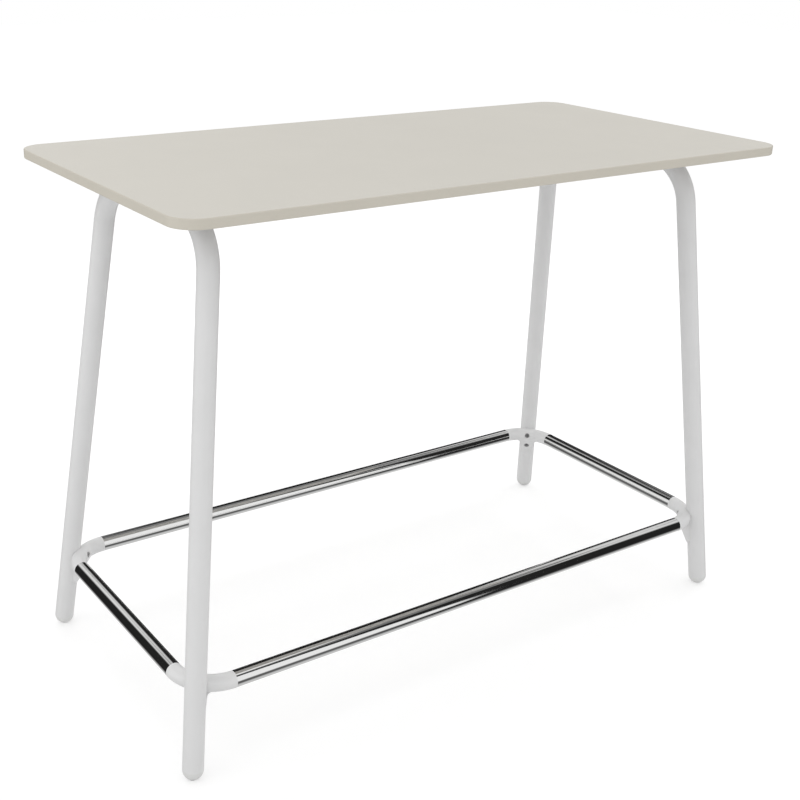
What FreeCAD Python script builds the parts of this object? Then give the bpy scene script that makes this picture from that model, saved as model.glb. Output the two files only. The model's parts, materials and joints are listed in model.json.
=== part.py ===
import FreeCAD, Part
import math
import os

# Standing meeting table: a laminated top on two bent-tube leg frames, tied together by two rails under
# the top and by a footrest ring of straight tubes and cast elbows.
#
# Millimetres and degrees. Origin on the floor under the middle of the top, +X along the table, +Y to its
# back, +Z up. The legs lean in by the same angle along X and along Y, so each leg leans along a 45 degree
# diagonal, and what is fixed to a leg is built once in that leg's own frame.

V = FreeCAD.Vector
UP = V(0, 0, 1)

# --- Tabletop ---------------------------------------------------------------------------------------------
TABLE_HEIGHT = 1050.0
TOP_LENGTH = 1400.0
TOP_WIDTH = 700.0
TOP_THICKNESS = 18.0
TOP_CORNER_RADIUS = 50.0
LAMINATE_THICKNESS = 0.8
BALANCE_SHEET_THICKNESS = 0.8
EDGE_BAND_THICKNESS = 2.0
EDGE_ARRIS_RADIUS = 1.9

# --- Leg frames -------------------------------------------------------------------------------------------
LEG_DIAMETER = 40.0
LEG_WALL = 2.0
LEG_LEAN = 6.0
LEG_BEND_RADIUS = 100.0
FOOT_INSET_X = 22.0
FOOT_INSET_Y = 40.0

# --- Feet -------------------------------------------------------------------------------------------------
DOME_FLATTENING = 1.7
GLIDE_PLUG_LENGTH = 26.0
GLIDE_PLUG_WALL = 4.0
GLIDE_PLUG_CLEARANCE = 0.1
PAD_DIAMETER = 15.0
PAD_THICKNESS = 2.0
PAD_PROUD = 0.6

# --- Rails under the top ----------------------------------------------------------------------------------
RAIL_HEIGHT = 40.0
RAIL_WIDTH = 20.0
RAIL_WALL = 2.0
RAIL_CORNER_RADIUS = 3.0
RAIL_END_GAP = 0.5
RAIL_BEND_GAP = 4.0
SPIGOT_LENGTH = 50.0
SPIGOT_CLEARANCE = 0.2

# --- Plates that carry the top ----------------------------------------------------------------------------
PLATE_THICKNESS = 6.0
PLATE_CORNER_RADIUS = 8.0
PLATE_SCREW_INSET = 15.0
LEG_PLATE_LENGTH = 110.0
LEG_PLATE_RAIL_GAP = 15.0
LEG_PLATE_WELD_WIDTH = 18.0
RAIL_PLATE_LENGTH = 80.0
RAIL_PLATE_WIDTH = 30.0

# --- Screws of the top and the rails ----------------------------------------------------------------------
SCREW_DIAMETER = 6.0
SCREW_HOLE_CLEARANCE = 0.6
SCREW_HEAD_DIAMETER = 10.5
SCREW_HEAD_HEIGHT = 3.3
TOP_SCREW_COVER = 6.0
RAIL_SCREW_LENGTH = 12.0

# --- Footrest ring ----------------------------------------------------------------------------------------
FOOTREST_HEIGHT = 171.7
FOOTREST_DIAMETER = 32.0
FOOTREST_WALL = 1.5
ELBOW_RADIUS = 81.0
ELBOW_SADDLE_DEPTH = 10.1
ELBOW_SPIGOT_LENGTH = 30.0
ELBOW_SPIGOT_CLEARANCE = 0.15

# --- Tab of an elbow, which runs down its leg -------------------------------------------------------------
TAB_DROP = 70.0
TAB_WIDTH = 26.0
TAB_TIP_THICKNESS = 1.0
TAB_FLARE_RADIUS = 20.0
TAB_FLARE_OVERLAP = 3.0
TAB_FLARE_SETBACK = 2.0

# --- Screws and rivet nuts of an elbow --------------------------------------------------------------------
ELBOW_SCREW_OFFSET = 8.0
ELBOW_SCREW_PITCH = 34.0
ELBOW_HEAD_DIAMETER = 12.0
ELBOW_HEAD_HEIGHT = 6.0
ELBOW_HEAD_CLEARANCE = 0.25
ELBOW_HEAD_RECESS = 1.5
SOCKET_ACROSS_FLATS = 5.0
SOCKET_DEPTH = 3.0
NUT_DIAMETER = 9.0
NUT_LENGTH = 14.0
NUT_BULGE_DIAMETER = 12.0
NUT_BULGE_THICKNESS = 3.0
NUT_SCREW_END = 1.5

# --- Worked out from the sizes above ----------------------------------------------------------------------
UNDERSIDE = TABLE_HEIGHT - TOP_THICKNESS
PLATE_BOTTOM = UNDERSIDE - PLATE_THICKNESS
LEG_RADIUS = LEG_DIAMETER / 2
LEG_BORE_RADIUS = LEG_RADIUS - LEG_WALL
DOME_CENTRE_HEIGHT = LEG_RADIUS - DOME_FLATTENING
RUN_HEIGHT = PLATE_BOTTOM - LEG_RADIUS
LEAN_TANGENT = math.tan(math.radians(LEG_LEAN))
RUN_X = TOP_LENGTH / 2 - FOOT_INSET_X - RUN_HEIGHT * LEAN_TANGENT
SCREW_RADIUS = SCREW_DIAMETER / 2
SCREW_HOLE_RADIUS = SCREW_RADIUS + SCREW_HOLE_CLEARANCE / 2
ENDS = {"left": -1, "right": 1}
SIDES = {"front": -1, "back": 1}

# in a leg's own frame: +X to the middle of the table, origin on the leg's axis at the footrest's height
DIAGONAL_LEAN = math.atan(math.sqrt(2) * LEAN_TANGENT)
ALONG_LEG = V(math.sin(DIAGONAL_LEAN), 0, math.cos(DIAGONAL_LEAN))
OFF_LEG = V(math.cos(DIAGONAL_LEAN), 0, -math.sin(DIAGONAL_LEAN))
FOOTREST_RADIUS = FOOTREST_DIAMETER / 2
ELBOW_MIDDLE = V(LEG_RADIUS - ELBOW_SADDLE_DEPTH + FOOTREST_RADIUS, 0, 0)
ELBOW_CENTRE = ELBOW_MIDDLE + V(ELBOW_RADIUS, 0, 0)
RING_OUTSET = (ELBOW_RADIUS * math.sqrt(2) - ELBOW_CENTRE.x) / math.sqrt(2)


# --- Helpers ----------------------------------------------------------------------------------------------
def line(a, b):
    return Part.LineSegment(a, b).toShape()


def arc(a, middle, b):
    return Part.Arc(a, middle, b).toShape()


def face_of(edges):
    return Part.Face(Part.Wire(Part.__sortEdges__(edges)))


def polygon(points):
    return face_of([line(a, b) for a, b in zip(points, points[1:] + points[:1])])


def turned(points):
    """Solid of revolution about Z from (radius, height) points."""
    return polygon([V(r, 0, z) for r, z in points]).revolve(V(), UP, 360)


def rounded_slab(length, width, radius, z0, z1):
    """Rectangle with rounded corners, centred on Z, from z0 to z1."""
    slab = Part.makeBox(length, width, z1 - z0, V(-length / 2, -width / 2, z0))
    corners = [e for e in slab.Edges if e.BoundBox.ZLength > (z1 - z0) / 2]
    return slab.makeFillet(radius, corners)


def placed(shape, origin, rotation):
    """Copy of the shape, turned about its own origin and then moved to the given one."""
    moved = shape.copy()
    moved.Placement = FreeCAD.Placement(origin, rotation).multiply(shape.Placement)
    return moved


def pointed(shape, origin, direction):
    """Copy of the shape with its own +Z along the direction."""
    return placed(shape, origin, FreeCAD.Rotation(UP, direction))


def rod(radius, origin, direction, start, end):
    """Cylinder from start to end along the direction from the origin."""
    return pointed(Part.makeCylinder(radius, end - start, V(0, 0, start)), origin, direction)


def leg_axis(sx, sy, z):
    """Point of a leg's axis at height z."""
    x = TOP_LENGTH / 2 - FOOT_INSET_X - z * LEAN_TANGENT
    y = TOP_WIDTH / 2 - FOOT_INSET_Y - z * LEAN_TANGENT
    return V(sx * x, sy * y, z)


def at_leg(shape, sx, sy):
    """Copy of a shape, moved from a leg's own frame to its place on the table."""
    heading = math.degrees(math.atan2(-sy, -sx))
    return placed(shape, leg_axis(sx, sy, FOOTREST_HEIGHT), FreeCAD.Rotation(UP, heading))


def plain_screw(length):
    """Screw along +Z with the underside of its head at the origin."""
    head = SCREW_HEAD_DIAMETER / 2
    return turned([
        (0, -SCREW_HEAD_HEIGHT), (head, -SCREW_HEAD_HEIGHT), (head, 0),
        (SCREW_RADIUS, 0), (SCREW_RADIUS, length), (0, length),
    ])


# --- Leg frames -------------------------------------------------------------------------------------------
def frame_corner(sx, sy):
    """Tangent points and middle of the bend between a leg and the level run, as (leg, middle, run)."""
    corner = leg_axis(sx, sy, RUN_HEIGHT)
    down = (leg_axis(sx, sy, 0) - corner).normalize()
    across = V(0, -sy, 0)
    half_opening = down.getAngle(across) / 2
    tangent = LEG_BEND_RADIUS / math.tan(half_opening)
    inward = (down + across).normalize()
    middle = corner + inward * (LEG_BEND_RADIUS / math.sin(half_opening) - LEG_BEND_RADIUS)
    return corner + down * tangent, middle, corner + across * tangent


def swept(path, radius):
    """Round bar along the path."""
    first = path.OrderedEdges[0]
    begin = first.FirstParameter
    profile = Part.Wire(Part.makeCircle(radius, first.valueAt(begin), first.tangentAt(begin)))
    return path.makePipeShell([profile], True, False)


def make_leg_frame(sx):
    """Inverted U of tube: up the front leg, along the level run and down the back leg."""
    front_leg, front_middle, front_run = frame_corner(sx, -1)
    back_leg, back_middle, back_run = frame_corner(sx, 1)
    path = Part.Wire([
        line(leg_axis(sx, -1, DOME_CENTRE_HEIGHT), front_leg),
        arc(front_leg, front_middle, front_run),
        line(front_run, back_run),
        arc(back_run, back_middle, back_leg),
        line(back_leg, leg_axis(sx, 1, DOME_CENTRE_HEIGHT)),
    ])
    frame = swept(path, LEG_RADIUS).cut(swept(path, LEG_BORE_RADIUS))
    holes = Part.makeCompound([
        rod(NUT_DIAMETER / 2, start, OFF_LEG, 0, LEG_DIAMETER)
        for start in elbow_screw_starts()
    ])
    return frame.cut([at_leg(holes, sx, sy) for sy in SIDES.values()])


def run_cylinder(sx, radius):
    """Cylinder about the axis of a leg frame's level run."""
    return rod(radius, V(sx * RUN_X, 0, RUN_HEIGHT), V(0, 1, 0), -TOP_WIDTH / 2, TOP_WIDTH / 2)


# --- Feet -------------------------------------------------------------------------------------------------
def make_foot(sx, sy):
    """Domed glide with a hollow plug that fills the end of a leg, and the pad let into its underside."""
    floor = leg_axis(sx, sy, 0)
    dome_centre = leg_axis(sx, sy, DOME_CENTRE_HEIGHT)
    outside = LEG_BORE_RADIUS - GLIDE_PLUG_CLEARANCE
    inside = outside - GLIDE_PLUG_WALL
    dome = Part.makeSphere(LEG_RADIUS, V(), UP, -90, 0, 360)
    plug = turned([(inside, 0), (outside, 0), (outside, GLIDE_PLUG_LENGTH), (inside, GLIDE_PLUG_LENGTH)])
    glide = pointed(dome.fuse(plug), dome_centre, dome_centre - floor)
    glide = glide.cut(rod(LEG_DIAMETER, floor, UP, -LEG_DIAMETER, PAD_PROUD))
    pad = rod(PAD_DIAMETER / 2, floor, UP, 0, PAD_THICKNESS)
    return glide.cut(pad), pad


def make_leg_frames(parts):
    for end, sx in ENDS.items():
        parts["leg_frame_" + end] = make_leg_frame(sx)
        for side, sy in SIDES.items():
            glide, pad = make_foot(sx, sy)
            parts["foot_glide_%s_%s" % (side, end)] = glide
            parts["floor_pad_%s_%s" % (side, end)] = pad


# --- Rails under the top ----------------------------------------------------------------------------------
def rail_y(sy):
    """Middle of a rail, which stands on the straight of the level run next to its bend."""
    run_end = frame_corner(1, sy)[2]
    return run_end.y - sy * (RAIL_BEND_GAP + RAIL_WIDTH / 2)


def rail_bar(sy, inset, x0, x1):
    """Bar from x0 to x1 with a rail's section, smaller all round by the inset."""
    height = RAIL_HEIGHT - 2 * inset
    width = RAIL_WIDTH - 2 * inset
    radius = max(RAIL_CORNER_RADIUS - inset, RAIL_CORNER_RADIUS / 4)
    bar = rounded_slab(height, width, radius, x0, x1)
    return pointed(bar, V(0, rail_y(sy), PLATE_BOTTOM - RAIL_HEIGHT / 2), V(1, 0, 0))


def rail_screw_point(sx, sy):
    """Place of a rail's screw on the rail's underside, half-way along the spigot."""
    x = RUN_X - LEG_RADIUS - SPIGOT_LENGTH / 2
    return V(sx * x, rail_y(sy), PLATE_BOTTOM - RAIL_HEIGHT)


def make_rail(sy):
    rail = rail_bar(sy, 0, -RUN_X, RUN_X).cut(rail_bar(sy, RAIL_WALL, -RUN_X, RUN_X))
    for sx in ENDS.values():
        rail = rail.cut(run_cylinder(sx, LEG_RADIUS + RAIL_END_GAP))
        rail = rail.cut(rod(SCREW_HOLE_RADIUS, rail_screw_point(sx, sy), UP, 0, RAIL_WALL))
    return rail


def make_spigot(sx, sy):
    """Block welded to the level run, which the end of the rail slides over."""
    x0, x1 = sorted((sx * RUN_X, sx * (RUN_X - LEG_RADIUS - SPIGOT_LENGTH)))
    block = rail_bar(sy, RAIL_WALL + SPIGOT_CLEARANCE, x0, x1)
    block = block.cut(run_cylinder(sx, LEG_RADIUS))
    return block.cut(rod(SCREW_RADIUS, rail_screw_point(sx, sy), UP, 0, RAIL_SCREW_LENGTH))


# --- Plates that carry the top ----------------------------------------------------------------------------
def leg_plate_width():
    return 2 * (rail_y(1) - RAIL_WIDTH / 2 - LEG_PLATE_RAIL_GAP)


def plates():
    """Centre, length along X, width along Y and X of the screw rows of each plate, by node name."""
    found = {}
    width = leg_plate_width()
    row = LEG_PLATE_LENGTH / 2 - PLATE_SCREW_INSET
    for end, sx in ENDS.items():
        found["leg_plate_" + end] = (V(sx * RUN_X, 0, 0), LEG_PLATE_LENGTH, width, (-row, row))
    for side, sy in SIDES.items():
        found["rail_plate_" + side] = (V(0, rail_y(sy), 0), RAIL_PLATE_WIDTH, RAIL_PLATE_LENGTH, (0,))
    return found


def plate_screw_points(centre, width, rows):
    """Two screws in each row, one near each end of it."""
    reach = width / 2 - PLATE_SCREW_INSET
    return [centre + V(x, y, 0) for x in rows for y in (-reach, reach)]


def make_plate(centre, length, width, rows):
    plate = rounded_slab(length, width, PLATE_CORNER_RADIUS, PLATE_BOTTOM, UNDERSIDE)
    plate.translate(centre)
    return plate.cut([
        rod(SCREW_HOLE_RADIUS, point, UP, PLATE_BOTTOM, UNDERSIDE)
        for point in plate_screw_points(centre, width, rows)
    ])


def make_weld(sx):
    """Fillet welds that fill the two wedges between a leg plate and the level run."""
    width = leg_plate_width()
    corner = V(sx * RUN_X - LEG_PLATE_WELD_WIDTH / 2, -width / 2, RUN_HEIGHT)
    bead = Part.makeBox(LEG_PLATE_WELD_WIDTH, width, PLATE_BOTTOM - RUN_HEIGHT, corner)
    return bead.cut(run_cylinder(sx, LEG_RADIUS))


def make_under_frame(parts):
    for side, sy in SIDES.items():
        parts["rail_" + side] = make_rail(sy)
        for end, sx in ENDS.items():
            parts["rail_spigot_%s_%s" % (side, end)] = make_spigot(sx, sy)
    for name, plate in plates().items():
        parts[name] = make_plate(*plate)
    for end, sx in ENDS.items():
        parts["leg_plate_" + end] = parts["leg_plate_" + end].fuse(make_weld(sx)).removeSplitter()
    parts["rail_screws"] = Part.makeCompound([
        pointed(plain_screw(RAIL_SCREW_LENGTH), rail_screw_point(sx, sy), UP)
        for sx in ENDS.values() for sy in SIDES.values()
    ])


# --- Tabletop ---------------------------------------------------------------------------------------------
def make_edge_band(length, width, radius):
    outside = rounded_slab(TOP_LENGTH, TOP_WIDTH, TOP_CORNER_RADIUS, UNDERSIDE, TABLE_HEIGHT)
    rims = [e for e in outside.Edges if e.BoundBox.ZLength < TOP_THICKNESS / 2]
    outside = outside.makeFillet(min(EDGE_ARRIS_RADIUS, 0.95 * EDGE_BAND_THICKNESS), rims)
    return outside.cut(rounded_slab(length, width, radius, UNDERSIDE, TABLE_HEIGHT))


def make_tabletop(parts):
    length = TOP_LENGTH - 2 * EDGE_BAND_THICKNESS
    width = TOP_WIDTH - 2 * EDGE_BAND_THICKNESS
    radius = TOP_CORNER_RADIUS - EDGE_BAND_THICKNESS
    core_bottom = UNDERSIDE + BALANCE_SHEET_THICKNESS
    core_top = TABLE_HEIGHT - LAMINATE_THICKNESS
    screw = plain_screw(PLATE_THICKNESS + TOP_THICKNESS - TOP_SCREW_COVER)
    screws = [
        pointed(screw, point + V(0, 0, PLATE_BOTTOM), UP)
        for centre, _, plate_width, rows in plates().values()
        for point in plate_screw_points(centre, plate_width, rows)
    ]
    parts["tabletop_screws"] = Part.makeCompound(screws)
    parts["tabletop_core"] = rounded_slab(length, width, radius, core_bottom, core_top).cut(screws)
    parts["balance_sheet"] = rounded_slab(length, width, radius, UNDERSIDE, core_bottom).cut(screws)
    parts["top_laminate"] = rounded_slab(length, width, radius, core_top, TABLE_HEIGHT)
    parts["edge_band"] = make_edge_band(length, width, radius)


# --- Elbow of the footrest, in a leg's own frame ----------------------------------------------------------
def tab_face():
    """The tab's sloping face: its lower end, where it runs into the bend, and its outward normal."""
    reach = (LEG_RADIUS + TAB_TIP_THICKNESS) / math.cos(DIAGONAL_LEAN)
    tip = V(reach - TAB_DROP * math.tan(DIAGONAL_LEAN), 0, -TAB_DROP)
    to_middle = ELBOW_MIDDLE - tip
    slope = math.atan2(to_middle.z, to_middle.x) - math.asin(FOOTREST_RADIUS / to_middle.Length)
    normal = V(math.sin(slope), 0, -math.cos(slope))
    return tip, ELBOW_MIDDLE + normal * FOOTREST_RADIUS, normal


def elbow_screw_starts():
    """Points of the leg's axis that the elbow's screws aim at, upper one first."""
    return [ALONG_LEG * ELBOW_SCREW_OFFSET, ALONG_LEG * (ELBOW_SCREW_OFFSET - ELBOW_SCREW_PITCH)]


def elbow_head_seats():
    """Distance of each screw head's seat from the leg's axis, sunk below the face that the screw enters."""
    upper, lower = elbow_screw_starts()
    to_middle = ELBOW_MIDDLE - upper
    aside = to_middle.dot(ALONG_LEG)
    bend_face = to_middle.dot(OFF_LEG) + math.sqrt(FOOTREST_RADIUS ** 2 - aside ** 2)
    tip, touch, normal = tab_face()
    tab_face_distance = (tip - lower).dot(normal) / OFF_LEG.dot(normal)
    sunk = ELBOW_HEAD_RECESS + ELBOW_HEAD_HEIGHT
    return [bend_face - sunk, tab_face_distance - sunk]


def elbow_bend():
    """Quarter turn with a spigot at each end for the straight tubes."""
    circle = Part.makeCircle(FOOTREST_RADIUS, V(ELBOW_RADIUS, 0, 0), V(0, 1, 0))
    bend = Part.Face(Part.Wire(circle)).revolve(V(), UP, 90)
    spigot_radius = FOOTREST_RADIUS - FOOTREST_WALL - ELBOW_SPIGOT_CLEARANCE
    bend = bend.fuse([
        rod(spigot_radius, V(ELBOW_RADIUS, 0, 0), V(0, -1, 0), 0, ELBOW_SPIGOT_LENGTH),
        rod(spigot_radius, V(0, ELBOW_RADIUS, 0), V(-1, 0, 0), 0, ELBOW_SPIGOT_LENGTH),
    ])
    return placed(bend, ELBOW_CENTRE, FreeCAD.Rotation(UP, 135))


def tab_outline(x):
    """Tongue seen from the middle of the table: straight sides and a round end."""
    half = TAB_WIDTH / 2
    end = -TAB_DROP + half
    return face_of([
        line(V(x, -half, 0), V(x, half, 0)),
        line(V(x, half, 0), V(x, half, end)),
        arc(V(x, half, end), V(x, 0, -TAB_DROP), V(x, -half, end)),
        line(V(x, -half, end), V(x, -half, 0)),
    ])


def flare_outline(x, root):
    """Web seen from the middle of the table: a flare from each side of the tongue to the arm above."""
    half = TAB_WIDTH / 2
    rim = half + TAB_FLARE_RADIUS
    high = TAB_FLARE_OVERLAP - FOOTREST_RADIUS
    low = high - TAB_FLARE_RADIUS
    bow = TAB_FLARE_RADIUS * math.sqrt(0.5)
    return face_of([
        line(V(x, -rim, root), V(x, rim, root)),
        line(V(x, rim, root), V(x, rim, high)),
        arc(V(x, rim, high), V(x, rim - bow, low + bow), V(x, half, low)),
        line(V(x, half, low), V(x, -half, low)),
        arc(V(x, -half, low), V(x, bow - rim, low + bow), V(x, -rim, high)),
        line(V(x, -rim, high), V(x, -rim, root)),
    ])


def elbow_tab():
    """Tongue and web, both trimmed to the tab's sloping face."""
    tip, touch, normal = tab_face()
    half = TAB_WIDTH / 2 + TAB_FLARE_RADIUS
    outline = [V(0, 0, -TAB_DROP), tip, touch, ELBOW_MIDDLE, V()]
    side = polygon([point - V(0, half, 0) for point in outline]).extrude(V(0, 2 * half, 0))
    web_start = ELBOW_MIDDLE.x - TAB_FLARE_SETBACK
    tongue = tab_outline(0).extrude(V(touch.x, 0, 0))
    web = flare_outline(web_start, touch.z).extrude(V(touch.x - web_start, 0, 0))
    return tongue.fuse(web).common(side)


def make_elbow():
    """Casting that joins two straight tubes and seats on its leg, with a counterbore for each screw."""
    reach = TAB_DROP + ELBOW_RADIUS
    leg = rod(LEG_RADIUS, V(), ALONG_LEG, -reach, reach)
    elbow = elbow_bend().fuse(elbow_tab()).cut(leg).removeSplitter()
    bore = ELBOW_HEAD_DIAMETER / 2 + ELBOW_HEAD_CLEARANCE
    for start, seat in zip(elbow_screw_starts(), elbow_head_seats()):
        elbow = elbow.cut(rod(SCREW_HOLE_RADIUS, start, OFF_LEG, 0, seat))
        elbow = elbow.cut(rod(bore, start, OFF_LEG, seat, seat + FOOTREST_DIAMETER))
    return elbow


def nut_face():
    """Distance from the leg's axis to the outer end of a rivet nut, just inside the leg's surface."""
    return math.sqrt(LEG_RADIUS ** 2 - (NUT_DIAMETER / 2) ** 2)


def elbow_screw(start, seat):
    """Socket-head screw: its head on the seat, its shank through the rivet nut."""
    tip = nut_face() - NUT_LENGTH - NUT_SCREW_END
    top = seat + ELBOW_HEAD_HEIGHT
    shank = rod(SCREW_RADIUS, start, OFF_LEG, tip, seat)
    head = rod(ELBOW_HEAD_DIAMETER / 2, start, OFF_LEG, seat, top)
    corner = V(SOCKET_ACROSS_FLATS / math.sqrt(3), 0, 0)
    hexagon = polygon([FreeCAD.Rotation(UP, 60 * i).multVec(corner) for i in range(6)])
    socket = hexagon.extrude(V(0, 0, SOCKET_DEPTH))
    return shank.fuse(head).cut(pointed(socket, start + OFF_LEG * (top - SOCKET_DEPTH), OFF_LEG))


def rivet_nut(start):
    """Sleeve in the wall of the leg, with a bulge that bears on the inside of the wall."""
    outer = nut_face()
    barrel = NUT_DIAMETER / 2
    bulge = NUT_BULGE_DIAMETER / 2
    bulge_face = math.sqrt(LEG_BORE_RADIUS ** 2 - bulge ** 2)
    nut = turned([
        (SCREW_RADIUS, outer - NUT_LENGTH), (barrel, outer - NUT_LENGTH),
        (barrel, bulge_face - NUT_BULGE_THICKNESS), (bulge, bulge_face - NUT_BULGE_THICKNESS),
        (bulge, bulge_face), (barrel, bulge_face), (barrel, outer), (SCREW_RADIUS, outer),
    ])
    return pointed(nut, start, OFF_LEG)


# --- Footrest ring ----------------------------------------------------------------------------------------
def footrest_tube(centre, direction, ring_half):
    """Straight tube from elbow to elbow."""
    half = ring_half - ELBOW_RADIUS
    outside = rod(FOOTREST_RADIUS, centre, direction, -half, half)
    return outside.cut(rod(FOOTREST_RADIUS - FOOTREST_WALL, centre, direction, -half, half))


def make_footrest(parts):
    starts = elbow_screw_starts()
    screws = [elbow_screw(start, seat) for start, seat in zip(starts, elbow_head_seats())]
    pieces = {
        "footrest_elbow": make_elbow(),
        "footrest_screws": Part.makeCompound(screws),
        "rivet_nuts": Part.makeCompound([rivet_nut(start) for start in starts]),
    }
    for end, sx in ENDS.items():
        for side, sy in SIDES.items():
            for name, piece in pieces.items():
                parts["%s_%s_%s" % (name, side, end)] = at_leg(piece, sx, sy)
    ring = leg_axis(1, 1, FOOTREST_HEIGHT) + V(RING_OUTSET, RING_OUTSET, 0)
    for side, sy in SIDES.items():
        parts["footrest_tube_" + side] = footrest_tube(V(0, sy * ring.y, ring.z), V(1, 0, 0), ring.x)
    for end, sx in ENDS.items():
        parts["footrest_tube_" + end] = footrest_tube(V(sx * ring.x, 0, ring.z), V(0, 1, 0), ring.y)


# --- Assembly ---------------------------------------------------------------------------------------------
parts = {}
make_tabletop(parts)
make_under_frame(parts)
make_leg_frames(parts)
make_footrest(parts)
os.makedirs("parts", exist_ok=True)
for name, shape in parts.items():
    shape.exportStep("parts/%s.step" % name)
    print(name, len(shape.Solids), "solids", round(shape.Volume, 1), "mm3")
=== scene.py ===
"""Standing meeting table: materials, camera and studio.

Lengths are in metres and angles in degrees, except that the camera's lens and sensor are in millimetres.
"""
import json
import math

import bpy
from mathutils import Matrix, Vector

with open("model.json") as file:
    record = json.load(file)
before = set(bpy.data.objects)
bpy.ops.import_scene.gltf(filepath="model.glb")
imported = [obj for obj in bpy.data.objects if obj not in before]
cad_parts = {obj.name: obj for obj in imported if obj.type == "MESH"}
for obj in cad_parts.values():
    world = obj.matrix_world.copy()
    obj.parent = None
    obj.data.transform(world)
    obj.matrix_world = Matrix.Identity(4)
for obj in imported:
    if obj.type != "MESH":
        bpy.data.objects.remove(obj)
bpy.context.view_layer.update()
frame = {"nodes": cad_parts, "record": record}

# --- Camera: yaw turns right from +Y, pitch looks down and roll lifts the right side ---
CAMERA_PLACE = (-1.5039, -1.9625, 1.4909)
CAMERA_YAW = 33.558
CAMERA_PITCH = 20.503
CAMERA_ROLL = 1.255
CAMERA_LENS = 55.143
CAMERA_SENSOR = 36.0
CAMERA_SHIFT = (0.09375, -0.04)
CAMERA_CLIP = (0.05, 60.0)

# --- Light and floor ---
WORLD_LIGHT = 0.94
SEEN_WHITE = 1.0
SOFTBOXES = {
    # name: (place, width and height, power in watts)
    "left_softbox": ((-3.0, 0.3, 2.4), (2.0, 2.0), 10.5),
    "back_softbox": ((0.3, 3.2, 1.9), (3.0, 1.2), 18.0),
    "right_softbox": ((3.4, 0.2, 1.9), (2.4, 1.2), 18.0),
}
SOFTBOX_AIM = (0.0, 0.0, 0.6)
FLOOR_REACH = 14.0
FLOOR_COLOUR = (0.8, 0.8, 0.8)
# Seen directly, the floor is a glow plus a grey, which the light brings up to white except in shadow.
FLOOR_GLOW = 0.452
FLOOR_SHADE = (0.6, 0.6, 0.6)

# --- The studio as metal mirrors it: soft-edged panels, laid over each other on dark walls in this order ---
# Bearing 0 is +Y, 90 is +X and -90 is -X, and a half width over 180 goes all the way round.
# Rise 0 is level and 90 is straight up.
MIRRORED_WALLS = 0.018
MIRRORED_PANELS = {
    # name: (middle bearing, half width, half width with soft edge), (the same for the rise), brightness
    "floor": ((0.0, 181.0, 182.0), (-90.0, 29.0, 67.0), 0.68),
    "floor_glare": ((44.0, 5.0, 90.0), (-43.0, 8.0, 18.0), 1.05),
    "ceiling": ((60.0, 55.0, 90.0), (90.0, 39.0, 45.0), 0.22),
    "ceiling_lamp": ((107.0, 17.0, 32.0), (69.0, 7.0, 10.0), 1.0),
    "back_lamp": ((0.0, 13.0, 27.0), (29.0, 8.0, 17.0), 0.84),
    "right_lamp": ((83.0, 25.0, 41.0), (35.0, 12.0, 16.0), 0.8),
    "front_floor": ((167.0, 19.0, 23.0), (-25.0, 12.0, 22.0), 0.13),
    "front_screen": ((167.0, 21.0, 23.0), (20.0, 25.0, 39.0), 1.0),
    "camera_side_screen": ((-135.0, 18.0, 24.0), (20.0, 25.0, 39.0), 1.0),
    "left_floor": ((-71.0, 21.0, 32.0), (-25.0, 10.0, 22.0), 0.15),
    "left_screen": ((-71.0, 21.0, 28.0), (18.0, 20.0, 31.0), 0.92),
}

# --- Colours and patterns ---
WHITE = (1.0, 1.0, 1.0)
COAT_COLOUR = (0.755, 0.755, 0.755)
CHROME_COLOUR = (0.79, 0.79, 0.785)
NOISE_RANGE = (0.3, 0.7)  # nearly all noise values lie between these
DRAWN_OUT = 0.02  # scale of a pattern along drawn or polished lines, as a share of that across them


# --- Node graphs ---

def new_material(name):
    material = bpy.data.materials.new(name)
    material.use_nodes = True
    return material, material.node_tree, material.node_tree.nodes["Principled BSDF"]


def add(tree, kind, **values):
    node = tree.nodes.new(kind)
    for key, value in values.items():
        setattr(node, key, value)
    return node


def object_position(tree, stretch=(1.0, 1.0, 1.0)):
    """Position on the part in metres, with each axis multiplied by stretch."""
    place = add(tree, "ShaderNodeTexCoord")
    mapping = add(tree, "ShaderNodeMapping")
    mapping.inputs["Scale"].default_value = stretch
    tree.links.new(place.outputs["Object"], mapping.inputs["Vector"])
    return mapping.outputs["Vector"]


def noise(tree, position, per_metre, detail=2.0):
    node = add(tree, "ShaderNodeTexNoise")
    node.inputs["Scale"].default_value = per_metre
    node.inputs["Detail"].default_value = detail
    tree.links.new(position, node.inputs["Vector"])
    return node.outputs["Fac"]


def between(tree, value, low, high):
    """Number from low to high as a noise value crosses its range."""
    node = add(tree, "ShaderNodeMapRange")
    node.inputs["From Min"].default_value, node.inputs["From Max"].default_value = NOISE_RANGE
    node.inputs["To Min"].default_value = low
    node.inputs["To Max"].default_value = high
    tree.links.new(value, node.inputs["Value"])
    return node.outputs["Result"]


def two_colours(tree, value, first, second):
    """Colour from first to second as a noise value crosses its range."""
    ramp = add(tree, "ShaderNodeValToRGB")
    for element, position, colour in zip(ramp.color_ramp.elements, NOISE_RANGE, (first, second)):
        element.position = position
        element.color = (*colour, 1.0)
    tree.links.new(value, ramp.inputs["Fac"])
    return ramp.outputs["Color"]


def mottle(tree, value, colour, darkest, lightest):
    """The colour times a factor from darkest to lightest as a noise value crosses its range."""
    dark, light = (tuple(c * factor for c in colour) for factor in (darkest, lightest))
    return two_colours(tree, value, dark, light)


def multiply(tree, first, second):
    """Product of two colours."""
    mix = add(tree, "ShaderNodeMix", data_type="RGBA", blend_type="MULTIPLY")
    mix.inputs["Factor"].default_value = 1.0
    tree.links.new(first, mix.inputs["A"])
    tree.links.new(second, mix.inputs["B"])
    return mix.outputs["Result"]


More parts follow.
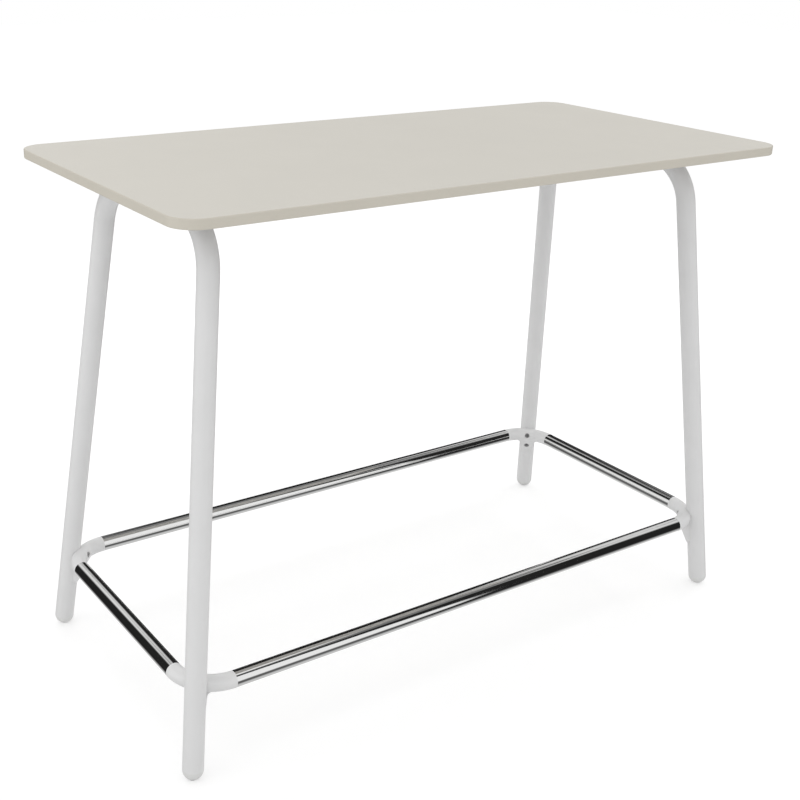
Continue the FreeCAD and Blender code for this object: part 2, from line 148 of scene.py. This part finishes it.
def bump(tree, height, depth, strength, under=None):
    """Normal from a height of 0 to 1 that stands for depth metres, on top of the normal under it."""
    node = add(tree, "ShaderNodeBump")
    node.inputs["Distance"].default_value = depth
    node.inputs["Strength"].default_value = strength
    tree.links.new(height, node.inputs["Height"])
    if under is not None:
        tree.links.new(under, node.inputs["Normal"])
    return node.outputs["Normal"]


def finish_surface(tree, shader, colour, rough, normal, metallic=0.0, specular=0.5):
    """Links the patterns of a surface to its shader, and sets what is the same all over it."""
    tree.links.new(colour, shader.inputs["Base Color"])
    tree.links.new(rough, shader.inputs["Roughness"])
    tree.links.new(normal, shader.inputs["Normal"])
    shader.inputs["Metallic"].default_value = metallic
    shader.inputs["Specular IOR Level"].default_value = specular


def calculate(tree, operation, *terms):
    """Math node on sockets and plain numbers."""
    node = add(tree, "ShaderNodeMath", operation=operation)
    for socket, term in zip(node.inputs, terms):
        if isinstance(term, float):
            socket.default_value = term
        else:
            tree.links.new(term, socket)
    return node.outputs["Value"]


def blend(tree, factor, first, second):
    """Number from first to second, either of which may be a socket or a plain number."""
    node = add(tree, "ShaderNodeMix", data_type="FLOAT")
    tree.links.new(factor, node.inputs["Factor"])
    for name, term in (("A", first), ("B", second)):
        if isinstance(term, float):
            node.inputs[name].default_value = term
        else:
            tree.links.new(term, node.inputs[name])
    return node.outputs["Result"]


# --- Materials ---

def laminate(name, colour, rough):
    """Matt laminate: faint mottling, a fine speckle and a pearl texture."""
    material, tree, shader = new_material(name)
    place = object_position(tree)
    cloud = noise(tree, place, per_metre=9.0, detail=3.0)
    speckle = noise(tree, place, per_metre=700.0)
    pearl = noise(tree, place, per_metre=1400.0, detail=1.0)
    mottled = mottle(tree, cloud, colour, darkest=0.992, lightest=1.006)
    speckled = mottle(tree, speckle, WHITE, darkest=0.974, lightest=0.992)
    finish_surface(
        tree, shader,
        colour=multiply(tree, mottled, speckled),
        rough=between(tree, speckle, *rough),
        normal=bump(tree, pearl, depth=0.00002, strength=0.6),
        specular=0.2,
    )
    return material


def powder_coat(name, colour):
    """Satin powder coat: orange peel about 2 mm across, with a finer grain on it."""
    material, tree, shader = new_material(name)
    place = object_position(tree)
    cloud = noise(tree, place, per_metre=14.0)
    peel = noise(tree, place, per_metre=480.0, detail=0.0)
    grain = noise(tree, place, per_metre=2600.0, detail=1.0)
    peeled = bump(tree, peel, depth=0.00012, strength=0.5)
    finish_surface(
        tree, shader,
        colour=mottle(tree, cloud, colour, darkest=0.985, lightest=1.01),
        rough=between(tree, grain, low=0.36, high=0.46),
        normal=bump(tree, grain, depth=0.00002, strength=0.5, under=peeled),
        specular=0.4,
    )
    return material


def chrome(name, colour, along):
    """Bright chrome with faint polishing lines along one axis."""
    material, tree, shader = new_material(name)
    stretch = [1.0, 1.0, 1.0]
    stretch[along] = DRAWN_OUT
    lines = noise(tree, object_position(tree, stretch), per_metre=900.0)
    haze = noise(tree, object_position(tree), per_metre=30.0, detail=3.0)
    finish_surface(
        tree, shader,
        colour=mottle(tree, haze, colour, darkest=0.98, lightest=1.0),
        rough=between(tree, haze, low=0.035, high=0.07),
        normal=bump(tree, lines, depth=0.000004, strength=0.35),
        metallic=1.0,
    )
    return material


def steel(name, colour, rough):
    """Plated or bare steel: cloudy tone and a fine cut grain."""
    material, tree, shader = new_material(name)
    place = object_position(tree)
    cloud = noise(tree, place, per_metre=160.0, detail=3.0)
    grain = noise(tree, place, per_metre=3000.0)
    finish_surface(
        tree, shader,
        colour=mottle(tree, cloud, colour, darkest=0.85, lightest=1.1),
        rough=between(tree, cloud, *rough),
        normal=bump(tree, grain, depth=0.00002, strength=0.5),
        metallic=1.0,
    )
    return material


def moulded_plastic(name, colour, rough):
    """Moulded plastic with the fine sparked grain of its tool."""
    material, tree, shader = new_material(name)
    place = object_position(tree)
    cloud = noise(tree, place, per_metre=25.0)
    grain = noise(tree, place, per_metre=2200.0)
    finish_surface(
        tree, shader,
        colour=mottle(tree, cloud, colour, darkest=0.98, lightest=1.01),
        rough=between(tree, grain, *rough),
        normal=bump(tree, grain, depth=0.00003, strength=0.5),
        specular=0.4,
    )
    return material


def edge_plastic(name, colour):
    """Extruded edge band: faint lines along the strip under a matt grain."""
    material, tree, shader = new_material(name)
    place = object_position(tree)
    lines_place = object_position(tree, stretch=(DRAWN_OUT, DRAWN_OUT, 1.0))
    cloud = noise(tree, place, per_metre=8.0)
    lines = noise(tree, lines_place, per_metre=2200.0, detail=1.0)
    grain = noise(tree, place, per_metre=1500.0)
    drawn = bump(tree, lines, depth=0.00002, strength=0.4)
    finish_surface(
        tree, shader,
        colour=mottle(tree, cloud, colour, darkest=0.985, lightest=1.01),
        rough=between(tree, grain, low=0.4, high=0.5),
        normal=bump(tree, grain, depth=0.00002, strength=0.5, under=drawn),
        specular=0.35,
    )
    return material


def particle_board(name, dark, light):
    """Raw particle board: chips a few millimetres across."""
    material, tree, shader = new_material(name)
    chips = add(tree, "ShaderNodeTexVoronoi")
    chips.inputs["Scale"].default_value = 320.0
    tree.links.new(object_position(tree), chips.inputs["Vector"])
    tone = noise(tree, chips.outputs["Position"], per_metre=500.0, detail=1.0)
    finish_surface(
        tree, shader,
        colour=two_colours(tree, tone, dark, light),
        rough=between(tree, tone, low=0.75, high=0.9),
        normal=bump(tree, chips.outputs["Distance"], depth=0.0003, strength=0.6),
    )
    return material


MATERIALS = {
    "top_laminate": laminate("top_laminate", (0.702, 0.677, 0.618), rough=(0.45, 0.55)),
    "balance_sheet": laminate("balance_sheet", (0.5, 0.483, 0.455), rough=(0.5, 0.6)),
    # Painted shade: the edge band's colour is darker than the top laminate's so that the upright edges come
    # out darker, as shade would make them; its hue is the band's own.
    "edge_band": edge_plastic("edge_band", (0.618, 0.583, 0.507)),
    "core_board": particle_board("core_board", dark=(0.36, 0.25, 0.14), light=(0.66, 0.52, 0.34)),
    "powder_coated_tube": powder_coat("powder_coated_tube", COAT_COLOUR),
    "powder_coated_casting": powder_coat("powder_coated_casting", COAT_COLOUR),
    "powder_coated_steel": powder_coat("powder_coated_steel", COAT_COLOUR),
    "dark_screw": steel("dark_screw", (0.52, 0.52, 0.525), rough=(0.32, 0.46)),
    "zinc_steel": steel("zinc_steel", (0.55, 0.56, 0.57), rough=(0.29, 0.43)),
    "glide_plastic": moulded_plastic("glide_plastic", (0.74, 0.74, 0.73), rough=(0.38, 0.47)),
    "pad_plastic": moulded_plastic("pad_plastic", (0.3, 0.3, 0.3), rough=(0.56, 0.65)),
}
CHROME_ALONG_X = chrome("chrome_along_x", CHROME_COLOUR, along=0)
CHROME_ALONG_Y = chrome("chrome_along_y", CHROME_COLOUR, along=1)
FOOTREST_CHROME = {
    "footrest_tube_front": CHROME_ALONG_X,
    "footrest_tube_back": CHROME_ALONG_X,
    "footrest_tube_left": CHROME_ALONG_Y,
    "footrest_tube_right": CHROME_ALONG_Y,
}


def dress_nodes():
    """Each node gets its record slot's material, and a footrest tube the chrome along its own axis."""
    for part in frame["record"]["subparts"]:
        node = frame["nodes"][part["node"]]
        material = FOOTREST_CHROME.get(part["node"]) or MATERIALS[part["material_slot"]]
        node.data.materials.clear()
        node.data.materials.append(material)


# --- Studio ---

def near(tree, angle, middle, full, gone):
    """1 up to full degrees from the middle, fading to 0 at gone degrees."""
    turn = calculate(tree, "SUBTRACT", angle, math.radians(middle))
    apart = calculate(tree, "ABSOLUTE", calculate(tree, "WRAP", turn, math.pi, -math.pi))
    node = add(tree, "ShaderNodeMapRange", interpolation_type="SMOOTHSTEP")
    node.inputs["From Min"].default_value = math.radians(gone)
    node.inputs["From Max"].default_value = math.radians(full)
    tree.links.new(apart, node.inputs["Value"])
    return node.outputs["Result"]


def mirrored_studio(tree):
    """Brightness of the studio in each direction."""
    direction = add(tree, "ShaderNodeTexCoord")
    split = add(tree, "ShaderNodeSeparateXYZ")
    tree.links.new(direction.outputs["Generated"], split.inputs["Vector"])
    bearing = calculate(tree, "ARCTAN2", split.outputs["X"], split.outputs["Y"])
    rise = calculate(tree, "ARCSINE", split.outputs["Z"])
    level = MIRRORED_WALLS
    for across, upward, brightness in MIRRORED_PANELS.values():
        cover = calculate(tree, "MULTIPLY", near(tree, bearing, *across), near(tree, rise, *upward))
        level = blend(tree, cover, level, brightness)
    return level


def seen_directly(tree, path):
    """1 for camera and glass rays, 0 for the others."""
    return calculate(tree, "MAXIMUM", path.outputs["Is Camera Ray"], path.outputs["Is Transmission Ray"])


def build_world():
    """White where it is seen, a studio where metal mirrors it, and plain even light on everything else."""
    world = bpy.data.worlds.new("studio")
    bpy.context.scene.world = world
    world.use_nodes = True
    tree = world.node_tree
    path = add(tree, "ShaderNodeLightPath")
    strength = blend(tree, seen_directly(tree, path), WORLD_LIGHT, SEEN_WHITE)
    strength = blend(tree, path.outputs["Is Glossy Ray"], strength, mirrored_studio(tree))
    light = tree.nodes["Background"]
    light.inputs["Color"].default_value = (*WHITE, 1.0)
    tree.links.new(strength, light.inputs["Strength"])


def floor_material():
    """White where it is seen, darkened a little by the table's shadow."""
    material, tree, shader = new_material("floor")
    tree.nodes.remove(shader)
    plain = add(tree, "ShaderNodeBsdfDiffuse")
    plain.inputs["Color"].default_value = (*FLOOR_COLOUR, 1.0)
    shadowed = add(tree, "ShaderNodeBsdfDiffuse")
    shadowed.inputs["Color"].default_value = (*FLOOR_SHADE, 1.0)
    glow = add(tree, "ShaderNodeEmission")
    glow.inputs["Strength"].default_value = FLOOR_GLOW
    seen = add(tree, "ShaderNodeAddShader")
    tree.links.new(shadowed.outputs["BSDF"], seen.inputs[0])
    tree.links.new(glow.outputs["Emission"], seen.inputs[1])
    mix = add(tree, "ShaderNodeMixShader")
    tree.links.new(seen_directly(tree, add(tree, "ShaderNodeLightPath")), mix.inputs["Fac"])
    tree.links.new(plain.outputs["BSDF"], mix.inputs[1])
    tree.links.new(seen.outputs["Shader"], mix.inputs[2])
    tree.links.new(mix.outputs["Shader"], tree.nodes["Material Output"].inputs["Surface"])
    return material


def build_floor():
    """Square floor round the origin. Metal mirrors the floor of MIRRORED_PANELS instead."""
    r = FLOOR_REACH
    corners = [(-r, -r, 0.0), (r, -r, 0.0), (r, r, 0.0), (-r, r, 0.0)]
    mesh = bpy.data.meshes.new("floor")
    mesh.from_pydata(corners, [], [(0, 1, 2, 3)])
    mesh.materials.append(floor_material())
    floor = bpy.data.objects.new("floor", mesh)
    floor.visible_glossy = False
    bpy.context.scene.collection.objects.link(floor)


def build_softboxes():
    """Soft lamps aimed at the table. Metal mirrors the lamps of MIRRORED_PANELS instead."""
    for name, (place, size, power) in SOFTBOXES.items():
        data = bpy.data.lights.new(name, "AREA")
        data.shape = "RECTANGLE"
        data.size, data.size_y = size
        data.energy = power
        lamp = bpy.data.objects.new(name, data)
        lamp.location = place
        lamp.rotation_euler = (Vector(SOFTBOX_AIM) - Vector(place)).to_track_quat("-Z", "Y").to_euler()
        lamp.visible_glossy = False
        bpy.context.scene.collection.objects.link(lamp)


def build_camera():
    yaw, pitch, roll = (math.radians(a) for a in (CAMERA_YAW, CAMERA_PITCH, CAMERA_ROLL))
    ahead = Vector((math.sin(yaw) * math.cos(pitch), math.cos(yaw) * math.cos(pitch), -math.sin(pitch)))
    right = Vector((math.cos(yaw), -math.sin(yaw), 0.0))
    up = right.cross(ahead)
    x_axis = math.cos(roll) * right + math.sin(roll) * up
    y_axis = math.cos(roll) * up - math.sin(roll) * right
    turn = Matrix((x_axis, y_axis, -ahead)).transposed()
    data = bpy.data.cameras.new("camera")
    data.lens = CAMERA_LENS
    data.sensor_width = CAMERA_SENSOR
    data.shift_x, data.shift_y = CAMERA_SHIFT
    data.clip_start, data.clip_end = CAMERA_CLIP
    camera = bpy.data.objects.new("camera", data)
    camera.matrix_world = Matrix.Translation(CAMERA_PLACE) @ turn.to_4x4()
    bpy.context.scene.collection.objects.link(camera)
    bpy.context.scene.camera = camera


dress_nodes()
build_world()
build_floor()
build_softboxes()
build_camera()
bpy.context.scene.view_settings.view_transform = "Standard"
